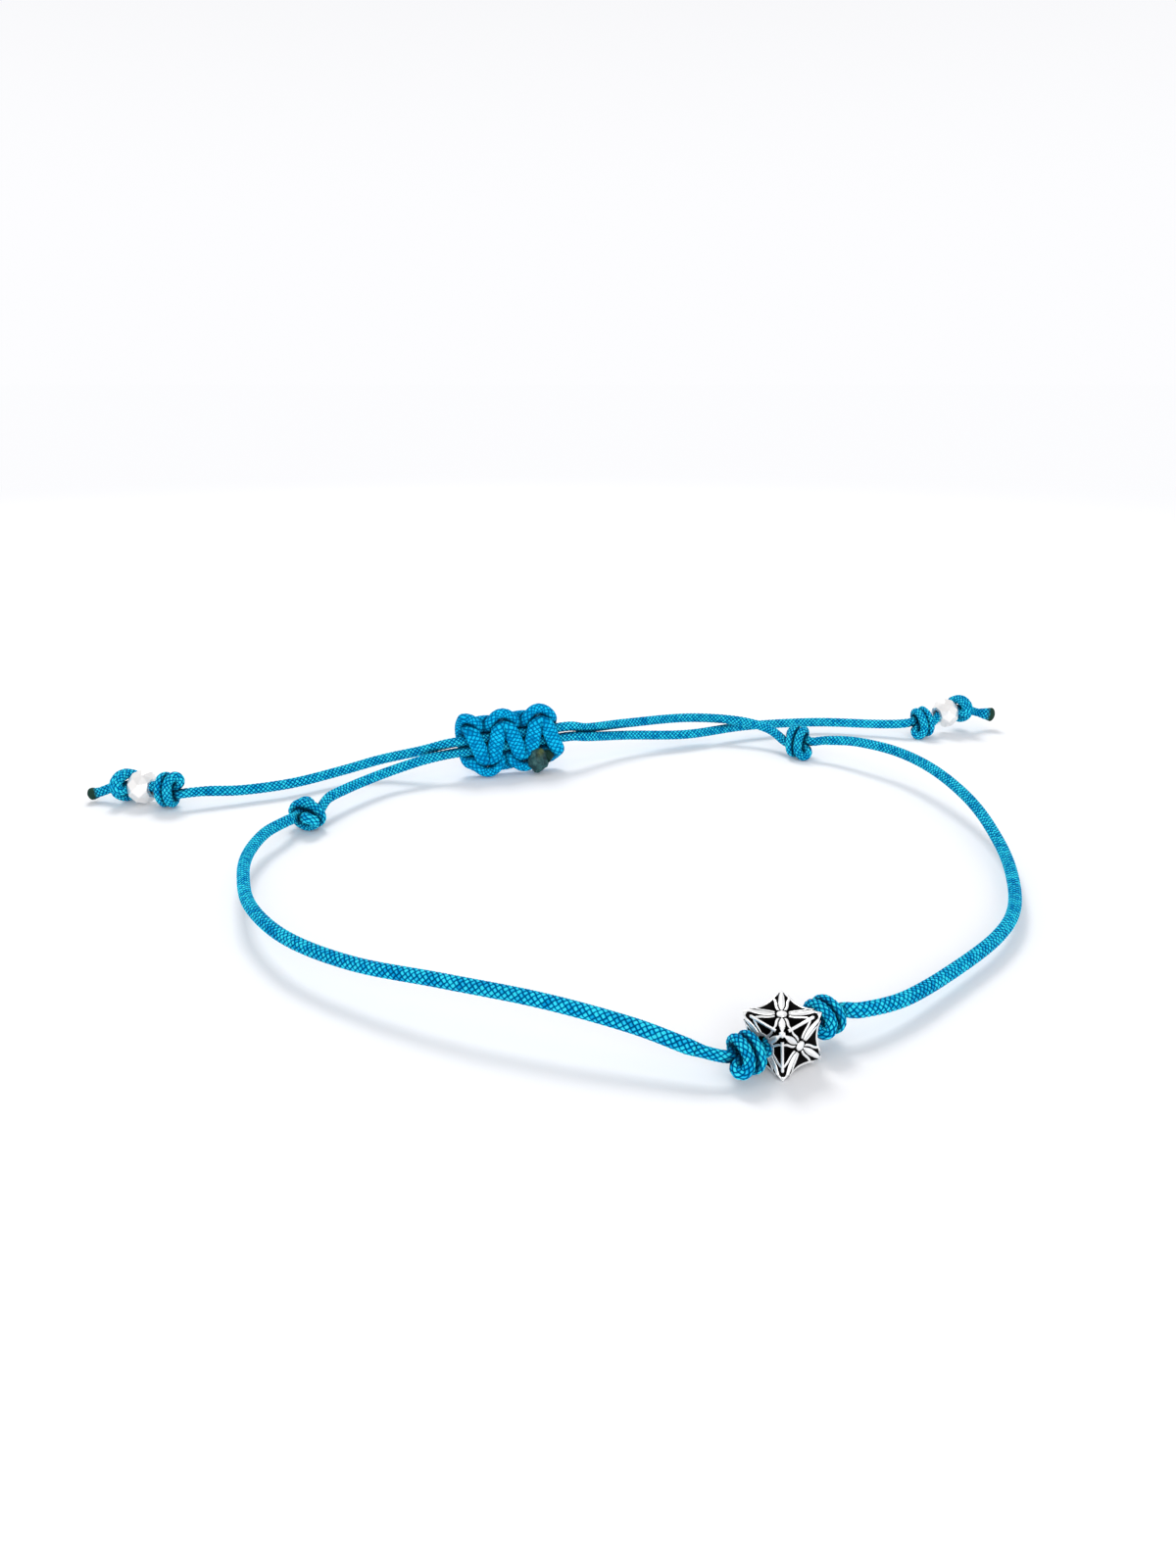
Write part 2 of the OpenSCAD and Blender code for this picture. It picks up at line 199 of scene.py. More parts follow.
def braid_height(along, around):
    """Height of the braid's surface, from 0 between the yarns to 1 on a yarn."""
    a, b = around * GRAINS_ROUND + along / GRAIN_L, around * GRAINS_ROUND - along / GRAIN_L
    over = (np.floor(a) + np.floor(b)) % 2 > 0.5
    across, far = 2 * (np.where(over, a, b) % 1) - 1, 2 * (np.where(over, b, a) % 1) - 1
    return (1 - across ** 2) * (1 - far ** 6)


def crease_shade(points, line, along, lines, alongs):
    """Painted crease shade over each ring's points: how near other stretches of cord lie over them, from 0 to 1
    where two touch.
    """
    tree = kdtree.KDTree(len(lines))
    for i, p in enumerate(lines):
        tree.insert(p, i)
    tree.balance()
    close = np.zeros(points.shape[:2])
    for i, (p, far) in enumerate(zip(line, along)):
        others = [lines[k] for _, k, _ in tree.find_range(p, NEIGHBOUR) if abs(alongs[k] - far) > OTHER_STRETCH]
        if others:
            out = points[i] - p
            to = np.array(others)[None] - points[i][:, None]
            near = np.linalg.norm(to, axis=2)
            above = np.einsum("ijk,ik->ij", to, out) / near / np.linalg.norm(out, axis=1)[:, None]
            close[i] = (np.clip((CREASE_SHADE_START - near) / CREASE_SHADE_W, 0, 1) * np.clip(above * 3, 0, 1)).max(1)
    return close


def braided_tube(name, line, along, sides, radius, melt, beside, relief=BRAID_RELIEF, axis=None, widen=None):
    """A closed tube of braid round a line in millimetres.

    Each of the line's points has a distance along the cord, two sides, a radius and a melted
    share. beside is all the cord that may lie next to it and darkens the creases with painted
    shade. The tube can be widened along an axis.
    """
    count, rounds = len(line), POINTS_ROUND
    side, up = sides
    turn = np.arange(rounds) / rounds
    angle = 2 * np.pi * turn
    height = braid_height(along[:, None], turn[None, :])
    r = radius[:, None] + relief * (height - BRAID_MIDDLE) * (1 - melt[:, None])
    sideways, upwards = np.cos(angle)[None, :, None], np.sin(angle)[None, :, None]
    out = r[:, :, None] * (sideways * side[:, None] + upwards * up[:, None])
    if axis is not None:
        ahead = directions(line)
        across = axis - (ahead @ axis)[:, None] * ahead
        across /= np.linalg.norm(across, axis=1)[:, None]
        out += (widen[:, None] * np.einsum("ijk,ik->ij", out, across))[:, :, None] * across[:, None]
    rings = line[:, None] + out
    close = crease_shade(rings, line, along, *beside)
    points = np.vstack([rings.reshape(-1, 3), line[:1], line[-1:]]) * MM

    i, k = np.meshgrid(np.arange(count - 1), np.arange(rounds), indexing="ij")
    i, k = i.ravel(), k.ravel()
    k2 = (k + 1) % rounds
    quads = np.stack([i * rounds + k, i * rounds + k2, (i + 1) * rounds + k2, (i + 1) * rounds + k], 1)
    c = np.arange(rounds)
    c2 = (c + 1) % rounds
    first, last, last_ring = len(points) - 2, len(points) - 1, (count - 1) * rounds
    caps = np.vstack([np.stack([np.full(rounds, first), c2, c], 1),
                      np.stack([np.full(rounds, last), last_ring + c, last_ring + c2], 1)])
    mesh = bpy.data.meshes.new(name)
    mesh.from_pydata(points, [], quads.tolist() + caps.tolist())

    # Each corner knows its place along and round the cord
    far = np.stack([along[i], along[i], along[i + 1], along[i + 1]], 1)
    wide = np.stack([k, k + 1, k + 1, k], 1) / rounds
    cap_far = np.repeat([along[0], along[-1]], rounds * 3)
    cap_wide = np.append(np.stack([c + 0.5, c + 1, c], 1), np.stack([c + 0.5, c, c + 1], 1)) / rounds
    uv = np.stack([np.append(far, cap_far), np.append(wide, cap_wide)], 1)
    mesh.uv_layers.new(name="braid").data.foreach_set("uv", uv.astype(np.float32).ravel())
    shares = {"melt": [*np.repeat(melt, rounds), melt[0], melt[-1]], "crease_shade": [*close.ravel(), 0, 0]}
    for key, values in shares.items():
        mesh.attributes.new(key, "FLOAT", "POINT").data.foreach_set("value", np.array(values, np.float32))
    shade = np.ones(len(mesh.polygons), bool)
    shade[len(quads):] = False
    mesh.polygons.foreach_set("use_smooth", shade)
    mesh.validate()
    piece = bpy.data.objects.new(name, mesh)
    scene.collection.objects.link(piece)
    return piece


class Tone:
    """A socket of a material's nodes. Sums of tones and numbers add the nodes that work them out."""

    def __init__(self, tree, socket=None):
        self.tree, self.socket = tree, socket

    def node(self, kind, settings=(), out=0, **values):
        """A new node: its settings, then the values or links of its sockets, by name or as i0, i1."""
        made = self.tree.nodes.new("ShaderNode" + kind)
        for key, value in dict(settings).items():
            setattr(made, key, value)
        for key, value in values.items():
            name = int(key[1:]) if key[0] == "i" and key[1:].isdigit() else key.replace("_", " ")
            if isinstance(value, Tone):
                self.tree.links.new(value.socket, made.inputs[name])
            else:
                made.inputs[name].default_value = value
        return Tone(self.tree, made.outputs[out])

    def maths(self, operation, one, two=0.0):
        return self.node("Math", {"operation": operation}, i0=one, i1=two)

    def __add__(self, other): return self.maths("ADD", self, other)
    def __radd__(self, other): return self.maths("ADD", other, self)
    def __sub__(self, other): return self.maths("SUBTRACT", self, other)
    def __rsub__(self, other): return self.maths("SUBTRACT", other, self)
    def __mul__(self, other): return self.maths("MULTIPLY", self, other)
    def __rmul__(self, other): return self.maths("MULTIPLY", other, self)
    def __pow__(self, other): return self.maths("POWER", self, other)
    def __mod__(self, other): return self.maths("FLOORED_MODULO", self, other)
    def __abs__(self): return self.maths("ABSOLUTE", self)
    def floor(self): return self.maths("FLOOR", self)
    def sine(self): return self.maths("SINE", self)

    def between(self, low, high):
        """0 below low, 1 above high, and smooth between them."""
        return self.node("MapRange", {"interpolation_type": "SMOOTHSTEP"}, i0=self, i1=low, i2=high)

    def colours(self, one, two):
        """From one colour to the other, by this tone."""
        return self.node("Mix", {"data_type": "RGBA"}, out=2, i0=self, i6=one, i7=two)

    def numbers(self, one, two):
        """From one number to the other, by this tone."""
        return self.node("Mix", {"data_type": "FLOAT"}, i0=self, i2=one, i3=two)


def new_material(name):
    """A material, its principled shader, and a tone to start its nodes from."""
    material = bpy.data.materials.new(name)
    material.use_nodes = True
    shader = material.node_tree.nodes["Principled BSDF"]
    return material, shader, Tone(material.node_tree)


def feed(shader, **tones):
    """Links tones to sockets of a shader, or sets them to numbers."""
    for key, value in tones.items():
        socket = shader.inputs[key.replace("_", " ")]
        if isinstance(value, Tone):
            value.tree.links.new(value.socket, socket)
        else:
            socket.default_value = value


# The yarn's blues, each for a flat and even braid and for a crisp one: painted shade where the
# yarns dip, the blue on their crests, and painted highlights where single grains glint
DIP_SHADE_BLUES = (0, 0.14, 0.34, 1), (0, 0.07, 0.21, 1)
CREST_BLUES = (0, 0.27, 0.59, 1), (0, 0.40, 0.84, 1)
PAINTED_GLINT_BLUES = (0, 0.54, 0.95, 1), (0.04, 0.82, 1, 1)
CLOUD_BLUE = (0.0, 0.06, 0.16, 1)
# Painted shade for the creases where two stretches of cord touch
CREASE_SHADE_BLUE = (0.0, 0.015, 0.055, 1)
BURNT_BLACK, BURNT_BROWN = (0.004, 0.022, 0.022, 1), (0.03, 0.075, 0.05, 1)
FILAMENTS = 15.7
BRAID_BUMP = 0.00009


def braided_nylon(name, crisp):
    """Blue nylon yarn, from flat and even at crisp 0 to yarns that stand apart at crisp 1, in bump
    and in painted light and shade.

    Each grain is painted brighter along its crest and darker where the yarns dip, as painted
    light and shade, and some grains get painted glints. Painted shade makes the creases between
    stretches of cord nearly black, and a melted tip is smooth and dark.
    """
    material, shader, t = new_material(name)
    blues = DIP_SHADE_BLUES, CREST_BLUES, PAINTED_GLINT_BLUES
    dip_shade, crest, painted_glint = [Vector(even).lerp(Vector(apart), crisp) for even, apart in blues]
    place = t.node("UVMap", {"uv_map": "braid"})
    along = t.node("SeparateXYZ", i0=place)
    around = t.node("SeparateXYZ", out=1, i0=place)
    a = around * GRAINS_ROUND + along * (1 / GRAIN_L)
    b = around * GRAINS_ROUND - along * (1 / GRAIN_L)
    over = (a.floor() + b.floor()) % 2
    across, far = over.numbers(b, a) % 1 * 2 - 1, over.numbers(a, b) % 1 * 2 - 1
    height = (1 - across ** 2) * (1 - abs(far) ** 6)
    filaments = (across * FILAMENTS).sine()
    own = t.node("TexWhiteNoise", Vector=t.node("CombineXYZ", X=a.floor(), Y=b.floor()))
    melt = t.node("Attribute", {"attribute_name": "melt"}, out=2)
    shade_in_creases = t.node("Attribute", {"attribute_name": "crease_shade"}, out=2)
    patches = t.node("TexNoise", Scale=900.0, Detail=3.0, Roughness=0.6, Vector=t.node("TexCoord", out=3))
    clouds = t.node("TexNoise", Scale=140.0, Detail=2.0, Vector=t.node("TexCoord", out=3))
    # Painted shade where the yarns dip, blending to the crest blue on each grain's top
    yarn = (height + filaments * 0.06 + patches * 0.5 + own * 0.3 - 0.4).between(0.0, 0.95).colours(dip_shade, crest)
    # Painted highlights: single grains glint
    yarn = (height + patches * 0.8 + own * 0.45 + filaments * 0.05).between(1.25, 1.65).colours(yarn, painted_glint)
    yarn = clouds.between(0.3, 0.75).numbers(0.88, 1.0).colours(CLOUD_BLUE, yarn)
    # Painted shade darkens the yarn in the creases where other stretches of cord lie close
    yarn = (shade_in_creases * 0.9).colours(yarn, CREASE_SHADE_BLUE)
    burnt = patches.colours(BURNT_BLACK, BURNT_BROWN)
    relief = (height + filaments * 0.07) * (1 - melt) + patches * 0.12
    feed(shader, Base_Color=melt.colours(yarn, burnt), Roughness=melt.numbers(0.45, 0.3), Specular_IOR_Level=0.01,
         Normal=t.node("Bump", Strength=1.0, Distance=BRAID_BUMP * crisp, Height=relief))
    return material


braid = braided_nylon("braided_nylon", 1)
names = list(cord_route)
cord_points = [p for n in names for p in cord_route[n]]
starts = np.concatenate([[0], np.cumsum([len(cord_route[n]) for n in names])]).tolist()
starts[-1] = len(cord_points) - 1
cord_line, cord_along, cord_marks = smooth_line(cord_points, LINE_STEP, starts)
cord_sides = carried_sides(cord_line)

# The cord's radius changes from stretch to stretch over the last half millimetre of each
CHANGE_L = 0.5
knots = {n: BEAD_KNOT_SIZE if n.startswith("bead") else 1 for n in names if "knot" in n}
middles, radii = [0.0], [KNOT_CORD_D / 2]
for n, low, high in zip(names, cord_marks, cord_marks[1:]):
    r = KNOT_CORD_D * knots[n] / 2 if n in knots else CORD_D / 2
    middles += [low + CHANGE_L, high - CHANGE_L]
    radii += [r, r]
cord_radius = np.interp(cord_along, middles, radii)

# Both tips are melted shut. The left one swells a little, and the right one more, over a
# longer stretch, and then each rounds off.
LEFT_SWELL, RIGHT_SWELL = 0.14, 0.36
TIP_ROUND = 0.45
tip = np.minimum(cord_along, cord_along[-1] - cord_along)
cord_melt = np.clip((1.15 - tip) / 0.5, 0, 1)
cord_radius += np.where(cord_along < cord_along[-1] / 2, LEFT_SWELL * np.clip((1.1 - tip) / 0.5, 0, 1),
                        RIGHT_SWELL * np.clip((1.9 - tip) / 1.5, 0, 1))
cord_radius *= np.sqrt(np.clip(1 - (1 - np.minimum(tip, TIP_ROUND) / TIP_ROUND) ** 2, 0.02, 1))

# The sliding knot
# A second piece of the same cord, tied in five half knots round both strands so that it
# grips and slides on them. It is pulled flat where it crosses them, and its end is melted.
HALF_KNOTS = 5
HALF_KNOT_L = 2.0
SLIDE_H = 5.95
WRAP_D = 1.04
WRAP_W = 1.62
TAUT_RELIEF = 0.02
# The wrapping cord's yarn is a copy with darker crests, as painted shade, and softer painted dip shade and glints
TAUT_CRISP = 0.2


def eased(x):
    """0 at 0 and below, 1 at 1 and above, and smooth between them."""
    x = np.clip(x, 0, 1)
    return x * x * (3 - 2 * x)


def wrap_point(t, s):
    """The wrapping cord at half knot t, on the way out for s = 1 and on the way back for s = -1.

    It swings up and down past both strands, in front of them and then behind, and leans.
    """
    c = math.cos(math.pi * t)
    sideways = eased((c * c - 0.1) / 0.6)
    if s > 0:
        lean, high = 0.42, c * (1 + 0.4 * c * c) / 1.4
    else:
        lean, high = 0.52, (0.79 if c < 0 else 0.86) * math.copysign(abs(c) ** 0.6, c)
    x = HALF_KNOT_L * (t + lean * math.sin(2 * math.pi * t)) - HALF_KNOTS * HALF_KNOT_L / 2
    return x, s * (1 - sideways * 1.5), s * SLIDE_H / 2 * high


# From its melted end the cord runs to the knot's left end, turns there, and comes back
PER_HALF_KNOT = 12
x, h = -HALF_KNOTS * HALF_KNOT_L / 2, SLIDE_H / 2
wrap_turn = [(x - 0.15, -0.1, 0.95 * h), (x - 0.2, 0.65, 0.72 * h), (x, 1.05, 0.3 * h), (x + 0.1, 1.05, -0.3 * h),
             (x + 0.25, 0.9, -0.6 * h), (x + 0.6, 0.6, -0.7 * h)]
wrap_out = [wrap_point(i / PER_HALF_KNOT, 1) for i in range(PER_HALF_KNOT * HALF_KNOTS - 3, -1, -1)]
wrap_back = [wrap_point(i / PER_HALF_KNOT, -1) for i in range(2, PER_HALF_KNOT * HALF_KNOTS - 1)]
wrap_tuck = (-0.7, -1.12, -0.62), (-0.52, -0.92, -0.5), (-0.22, -0.52, -0.3)
wrap_end = [np.add(wrap_out[0], tuck) for tuck in wrap_tuck]
wrap_line, wrap_along, _ = smooth_line(wrap_end + wrap_out + wrap_turn + wrap_back, LINE_STEP)
flat = (WRAP_W / WRAP_D - 1) * eased(1.6 - 3.2 * np.abs(wrap_line[:, 2]) / SLIDE_H)
melt = np.clip((1.6 - wrap_along) / 0.7, 0, 1)
slide_turn = np.array(turned(SLIDE_AT))
wrap_line = wrap_line @ slide_turn.T + SLIDE_AT[0]

# Both cords together, each third point. Distances along the second start far past the first's.
PAST_FIRST = 1000
past = wrap_along + PAST_FIRST
all_cord = (np.vstack([cord_line, wrap_line])[::3], np.append(cord_along, past)[::3])
sliding_knot = braided_tube("sliding_knot_braid", wrap_line, past, carried_sides(wrap_line),
                            np.full(len(wrap_line), WRAP_D / 2), melt, all_cord, relief=TAUT_RELIEF,
                            axis=slide_turn @ (1, 0, 0), widen=flat)
sliding_knot.data.materials.append(braided_nylon("taut_shaded_nylon", TAUT_CRISP))
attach(sliding_knot, "root")
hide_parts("sliding_knot")

# The long cord is cut where the source cuts it, at its knots, now that both cords' routes are
# known and painted shade can darken the yarn where two stretches lie close together.
LONG_STRETCH = 30
for n, low, high in zip(names, cord_marks, cord_marks[1:]):
    i, j = np.searchsorted(cord_along, [low, high])
    here = slice(max(i - 1, 0), j + 1)
    piece = braided_tube(n + "_braid", cord_line[here], cord_along[here], [side[here] for side in cord_sides],
                         cord_radius[here], cord_melt[here], all_cord)
    piece.data.materials.append(braid)
    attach(piece, "root")
    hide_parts(n)
    "knot_cord" if n in knots else "cord"
    if high - low > LONG_STRETCH:
        (high - low) * MM

# The melted end
# The wrapping cord's cut end is melted with a flame into a dark lump, and pressed against the
# knot's lower right corner while it is soft.
LUMP_SIZE = (1.05, 0.8, 1.2)
LUMP_PLACE = Vector((2.2, -1.2, -2.4))
LUMP_BLUNT = 0.85
lump = bmesh.new()
bmesh.ops.create_icosphere(lump, subdivisions=5, radius=1)
for v in lump.verts:
    d = v.co.normalized()
    rough = 1 + 0.2 * noise.noise(d * 1.7 + Vector((3, 1, 7))) + 0.09 * noise.noise(d * 4)
    v.co = Vector([size * rough * math.copysign(abs(c) ** LUMP_BLUNT, c) for size, c in zip(LUMP_SIZE, d)])
    v.co = (turned(SLIDE_AT) @ (v.co + LUMP_PLACE) + Vector(SLIDE_AT[0])) * MM
    v.co.z = max(v.co.z, 0.00002)
lump_mesh = bpy.data.meshes.new("melted_end")
lump.to_mesh(lump_mesh)
lump_mesh.shade_smooth()
melted_end = bpy.data.objects.new("melted_end", lump_mesh)
scene.collection.objects.link(melted_end)
scorched, shader, t = new_material("scorched_nylon")
place = t.node("TexCoord", out=3)
mottle = t.node("TexNoise", Vector=place, Scale=1500.0, Detail=4.0, Roughness=0.65)
runs = t.node("TexNoise", Vector=place, Scale=420.0, Detail=2.0)
tone = mottle.between(0.35, 0.65).colours((0.0, 0.022, 0.028, 1), (0.03, 0.11, 0.11, 1))
tone = runs.between(0.5, 0.65).colours(tone, (0.07, 0.10, 0.03, 1))
feed(shader, Base_Color=tone, Roughness=mottle.numbers(0.25, 0.5), Specular_IOR_Level=0.25,
     Normal=t.node("Bump", Strength=0.6, Distance=0.00005, Height=mottle))
lump_mesh.materials.append(scorched)
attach(melted_end, "root")

# The cube bead
# A hollow cast silver cube, blackened and then polished. Each face has a flower with a round
# boss and four arms, a petal between two thin bars, with black cells between the arms.
CUBE_H = 2.02
DISH = 0.49
EAR_R, EAR_LEFT = 2.6, 0.35
CELL_DEPTH = 0.6
CELL_SLOPE = 5
WALL = 0.1
BORE_R = 0.6

# The carving of a face, which is drawn 1.65 from its middle to its edges
FACE_H = 1.65
PETAL_START, PETAL_L, PETAL_W, PETAL_H = 0.42, 1.66, 0.24, 0.08
BAR_GAP, BAR_SPREAD, BAR_W, BAR_H = 0.18, 0.38, 0.085, 0.02
CORNER_START, CORNER_H = 1.97, 0.06
RING_R, RING_W, RING_H = 0.78, 0.1, 0.03
BOSS_R, BOSS_H = 0.36, 0.14


def in_place(at):
    """The matrix that takes a piece in millimetres to one of the places on the cord, in metres."""
    return Matrix.Translation(Vector(at[0]) * MM) @ (turned(at) * MM).to_4x4()


def face_relief(u, v, bored):
    """Height of a face's carving above the plain face.

    Each form of the carving is a distance outside its outline, and the height of its top.
    """
    a, b, r = np.abs(u), np.abs(v), np.hypot(u, v)
    big, small = np.maximum(a, b), np.minimum(a, b)
    out, aside = (a + b) / math.sqrt(2), np.abs(a - b) / math.sqrt(2)
    wide = PETAL_W * np.sin(np.pi * np.clip((out - PETAL_START) / PETAL_L, 0, 1)) ** 0.7
    wide = np.maximum(wide, np.where(out > 1.4, 0.11, 0.02))
    petal = np.maximum(aside - wide, PETAL_START + 0.02 - out)
    bar_aside = wide + BAR_GAP + BAR_SPREAD * np.clip((out - 1.1) / 0.6, 0, 1) ** 2
    bar = np.maximum(np.abs(aside - bar_aside) - BAR_W, np.maximum(PETAL_START + 0.05 - out, big - 1.6))
    edge = np.maximum(1.5 - big, small - 0.92)
    corner = CORNER_START - out + 0.27 * aside
    forms = [(petal, PETAL_H * (1 - np.clip(aside / wide, 0, 1) ** 2)), (bar, BAR_H), (edge, 0),
             (corner, CORNER_H * eased(-corner / 0.12))]
    if bored:
        forms.append((np.abs(r - RING_R) - RING_W, RING_H))
    else:
        forms.append((r - BOSS_R + 0.02, BOSS_H * np.sqrt(np.clip(1 - (r / BOSS_R) ** 2, 0, 1))))
    return np.max([top - CELL_SLOPE * np.maximum(away, 0) for away, top in forms], 0)


def cube_grid(count):
    """Corners, quads and carving heights of the six faces."""
    line = np.linspace(-CUBE_H, CUBE_H, count + 1)
    u, v = np.meshgrid(line, line, indexing="ij")
    u, v = u.ravel(), v.ravel()
    i, k = np.meshgrid(np.arange(count), np.arange(count), indexing="ij")
    corner = (i * (count + 1) + k).ravel()
    quads = np.stack([corner, corner + count + 1, corner + count + 2, corner + 1], 1)
    points, faces, heights = [], [], []
    for roll, pitch in ((0, 0), (90, 0), (180, 0), (270, 0), (0, 90), (0, -90)):
        turn = np.array(Matrix.Rotation(math.radians(roll), 3, "X") @ Matrix.Rotation(math.radians(pitch), 3, "Y"))
        relief = face_relief(u / CUBE_H * FACE_H, v / CUBE_H * FACE_H, bored=pitch != 0)
        heights.append(relief)
        p = np.stack([u, v, np.full(len(u), CUBE_H)], 1)
        hollow = 1 - DISH / CUBE_H * (1 - (p / CUBE_H) ** 2)
        p = p * np.minimum(hollow[:, [1, 2, 0]], hollow[:, [2, 0, 1]])
        p = p * (1 + np.maximum(relief, -CELL_DEPTH) / CUBE_H)[:, None]
        far = np.linalg.norm(p, axis=1)
        p *= (np.minimum(far, EAR_R + EAR_LEFT * np.clip(far - EAR_R, 0, 1)) / far)[:, None]
        faces.append(quads + len(points) * len(u))
        points.append(p @ turn.T)
    return np.vstack(points), np.vstack(faces), np.concatenate(heights)


points, quads, heights = cube_grid(80)
shell = bpy.data.meshes.new("shell")
shell.from_pydata(points, [], quads.tolist())
shell.attributes.new("carving", "FLOAT", "POINT").data.foreach_set("value", heights.astype(np.float32))
cut = bmesh.new()
cut.from_mesh(shell)
bmesh.ops.remove_doubles(cut, verts=cut.verts, dist=0.0005)
centres = [f.calc_center_median() for f in cut.faces]
bored = [f for f, p in zip(cut.faces, centres) if math.hypot(p.y, p.z) < BORE_R and abs(p.x) > CUBE_H / 3]
bmesh.ops.delete(cut, geom=bored, context="FACES")
cut.to_mesh(shell)
cut.free()
shell.shade_smooth()
cast = bpy.data.objects.new("cube_bead_cast", shell)
scene.collection.objects.link(cast)
wall = cast.modifiers.new("wall", "SOLIDIFY")
wall.thickness, wall.offset = WALL, -1
cast.data = bpy.data.meshes.new_from_object(cast.evaluated_get(bpy.context.evaluated_depsgraph_get()))
cast.modifiers.clear()
cast.data.transform(in_place(CUBE_AT))
for v in cast.data.vertices:
    v.co.z = max(v.co.z, 0.00001)
silver, shader, t = new_material("blackened_silver")
place = t.node("TexCoord", out=3)
worn = t.node("TexNoise", Vector=place, Scale=1800.0, Detail=4.0, Roughness=0.6)
warm = t.node("TexNoise", Vector=place, Scale=500.0, Detail=1.0)
bright = t.node("Attribute", {"attribute_name": "carving"}, out=2)
bright = (bright + (worn - 0.5) * 0.04).between(-0.03, 0.0)
metal = warm.between(0.55, 0.8).numbers(0.0, 0.35).colours((0.97, 0.97, 0.965, 1), (0.90, 0.84, 0.70, 1))
feed(shader, Base_Color=bright.colours((0.004, 0.0035, 0.0035, 1), metal), Metallic=bright.numbers(0.0, 0.7),
     Roughness=bright.numbers(0.6, 0.25), Specular_IOR_Level=0.05,
     Normal=t.node("Bump", Strength=0.3, Distance=0.00003, Height=worn))
cast.data.materials.clear()
cast.data.materials.append(silver)
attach(cast, "root")
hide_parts("cube_bead")

# The end beads
# Small solid silver beads, cut with flat facets in rows round them and polished bright, one
# near each end of the cord.
END_BEAD_D = 3.5
END_BEAD_L = 2.5
FACETS = 8
BEVEL = 0.05

# Rings of corners from one end to the other, then the bore's two rims: how far along and out
RINGS = ((-1, 0.56), (-0.5, 0.92), (0, 1), (0.5, 0.92), (1, 0.56), (1, 0.36), (-1, 0.36))
OUTER_RINGS = 5
bright_silver, shader, t = new_material("bright_silver")
place = t.node("TexCoord", out=3)
brushed = t.node("TexNoise", Vector=place, Scale=2500.0, Detail=3.0)
feed(shader, Base_Color=brushed.colours((0.93, 0.905, 0.88, 1), (0.98, 0.96, 0.94, 1)), Metallic=0.6,
     Roughness=brushed.numbers(0.25, 0.35), Normal=t.node("Bump", Strength=0.15, Distance=0.00002, Height=brushed))
for name, at in (("end_bead_left", END_BEAD_LEFT_AT), ("end_bead_right", END_BEAD_RIGHT_AT)):
    cut = bmesh.new()
    rings = []
    for i, (x, r) in enumerate(RINGS):
        # Each outer ring is half a facet round from the one before it
        shift = i % 2 / 2 if i < OUTER_RINGS else 0
        angles = [2 * math.pi * (k + shift) / FACETS for k in range(FACETS)]
        x, r = x * END_BEAD_L / 2, r * END_BEAD_D / 2
        rings.append([cut.verts.new((x, r * math.cos(a), r * math.sin(a))) for a in angles])
    for i, (ring, following) in enumerate(zip(rings, rings[1:] + rings[:1])):
        for k in range(FACETS):
            a, b, c, d = ring[k], ring[(k + 1) % FACETS], following[k], following[(k + 1) % FACETS]
            if i >= OUTER_RINGS - 1:
                cut.faces.new([a, b, d, c])
            elif i % 2 == 0:
                cut.faces.new([a, b, c])
                cut.faces.new([b, d, c])
            else:
                cut.faces.new([a, b, d])
                cut.faces.new([a, d, c])
    bmesh.ops.recalc_face_normals(cut, faces=cut.faces)
    bmesh.ops.bevel(cut, geom=list(cut.edges), offset=BEVEL, segments=2, affect="EDGES", profile=0.5)
    mesh = bpy.data.meshes.new(name + "_cut")
    cut.to_mesh(mesh)
    cut.free()
    mesh.transform(in_place(at))
    mesh.materials.append(bright_silver)
    bead = bpy.data.objects.new(name + "_cut", mesh)
    scene.collection.objects.link(bead)
    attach(bead, "root")
    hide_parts(name)

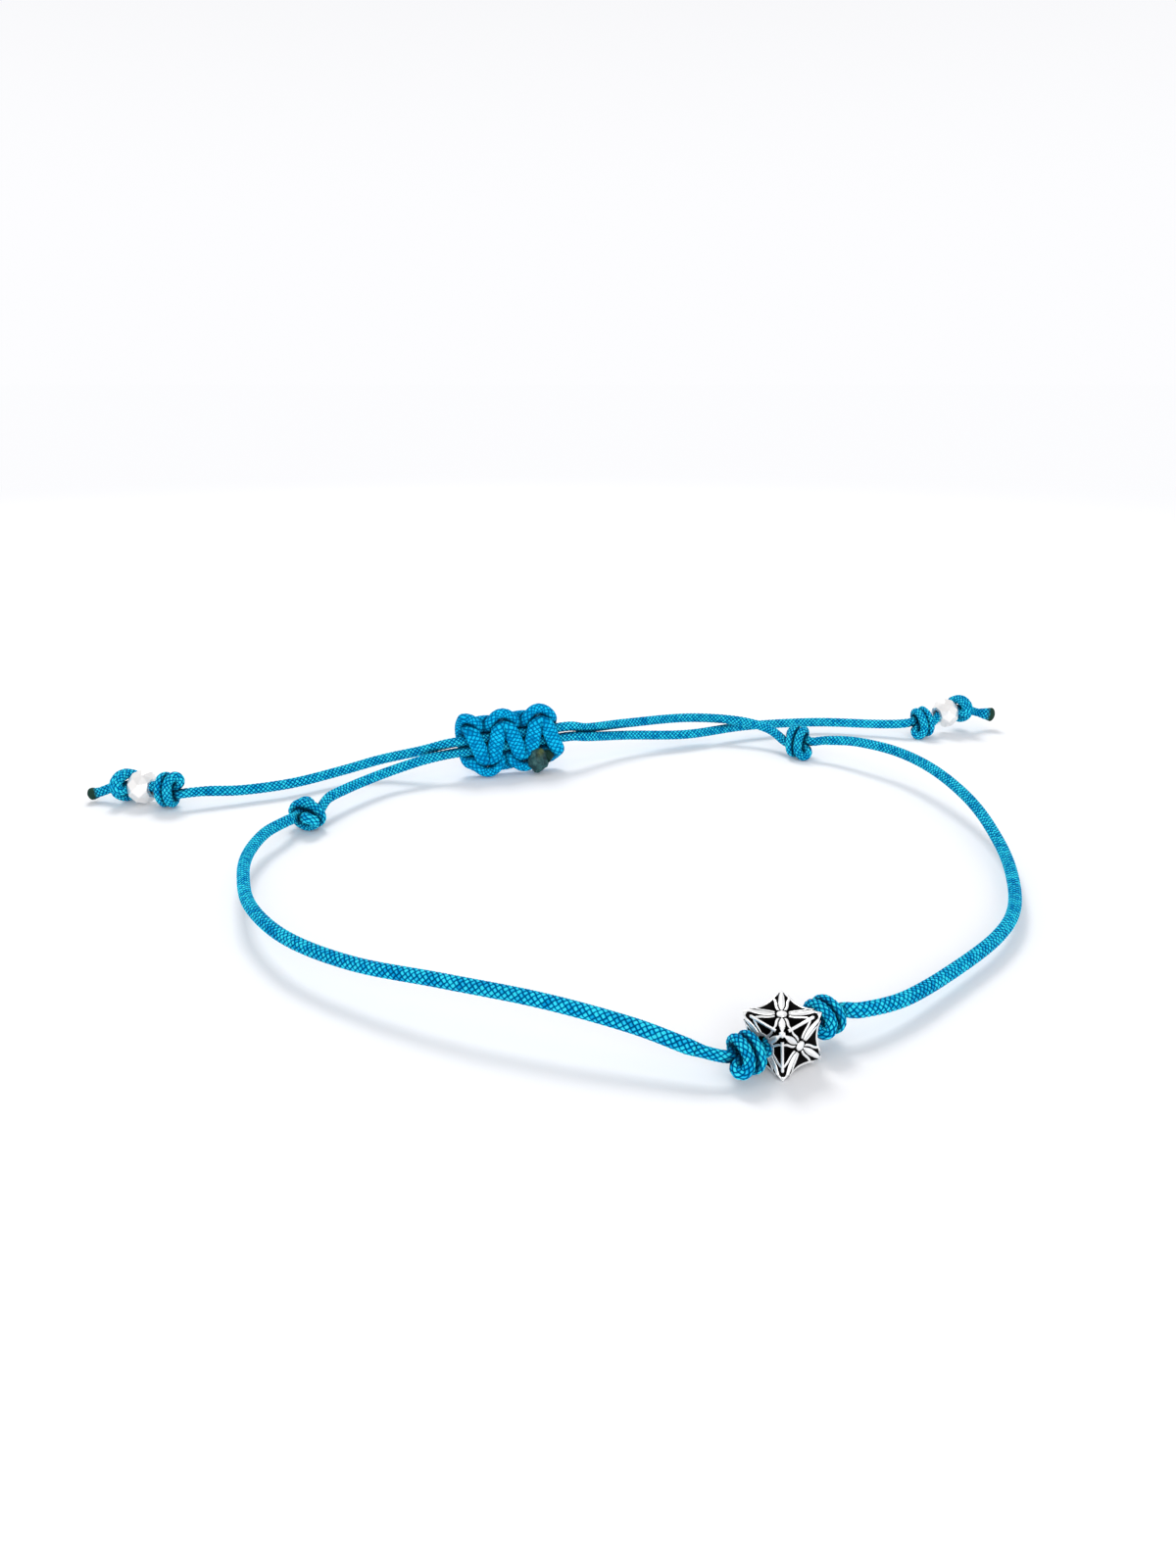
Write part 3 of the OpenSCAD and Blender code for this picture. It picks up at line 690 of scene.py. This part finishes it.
# Floor and light
# A white surface in a light tent. A soft lamp above and behind throws the shadows towards the
# viewer, a broader one lights the front, and the surface runs out into the tent's bright wall.
FLOOR_Z = -0.00007
FLOOR_HALF = 3
FADE_START, FADE_END = 0.14, 0.4
PAPER_WHITE = (0.92, 0.922, 0.935, 1)
WALL_WHITE = (0.975, 0.977, 0.995, 1)
NO_LIGHT = (0, 0, 0, 1)
floor_mesh = bpy.data.meshes.new("floor")
floor_mesh.from_pydata([(x * FLOOR_HALF, y * FLOOR_HALF, FLOOR_Z) for x, y in ((-1, -1), (1, -1), (1, 1), (-1, 1))],
                       [], [(0, 1, 2, 3)])
floor = bpy.data.objects.new("floor", floor_mesh)
scene.collection.objects.link(floor)
paper, shader, t = new_material("white_paper")
far = t.node("VectorMath", {"operation": "LENGTH"}, out=1, i0=t.node("TexCoord", out=3))
faded = far.between(FADE_START, FADE_END)
feed(shader, Base_Color=faded.colours(PAPER_WHITE, NO_LIGHT), Emission_Color=faded.colours(NO_LIGHT, WALL_WHITE),
     Emission_Strength=1.0, Roughness=0.7, Specular_IOR_Level=0.0)
floor_mesh.materials.append(paper)


def lamp(name, place, size, watts, colour):
    """A square soft lamp that shines from place towards the bracelet."""
    data = bpy.data.lights.new(name, "AREA")
    data.size, data.energy, data.color = size, watts, colour
    made = bpy.data.objects.new(name, data)
    made.location = place
    made.rotation_euler = (-Vector(place)).to_track_quat("-Z", "Y").to_euler()
    scene.collection.objects.link(made)


lamp("lamp_behind", (-0.10, 0.38, 0.50), size=0.22, watts=1.7, colour=(1, 0.985, 0.965))
lamp("lamp_front", (0.10, -0.60, 0.28), size=0.4, watts=1.4, colour=(1, 1, 1))
world = bpy.data.worlds.new("tent")
scene.world = world
world.use_nodes = True
sky = Tone(world.node_tree)
up = Tone(world.node_tree, sky.node("SeparateXYZ", i0=sky.node("TexCoord"), out=2).socket)
glow = up.between(0.1, 0.75).colours((0.982, 0.983, 1.0, 1), (0.66, 0.665, 0.685, 1))
world.node_tree.links.new(glow.socket, world.node_tree.nodes["Background"].inputs["Color"])
scene.view_settings.view_transform = "Standard"
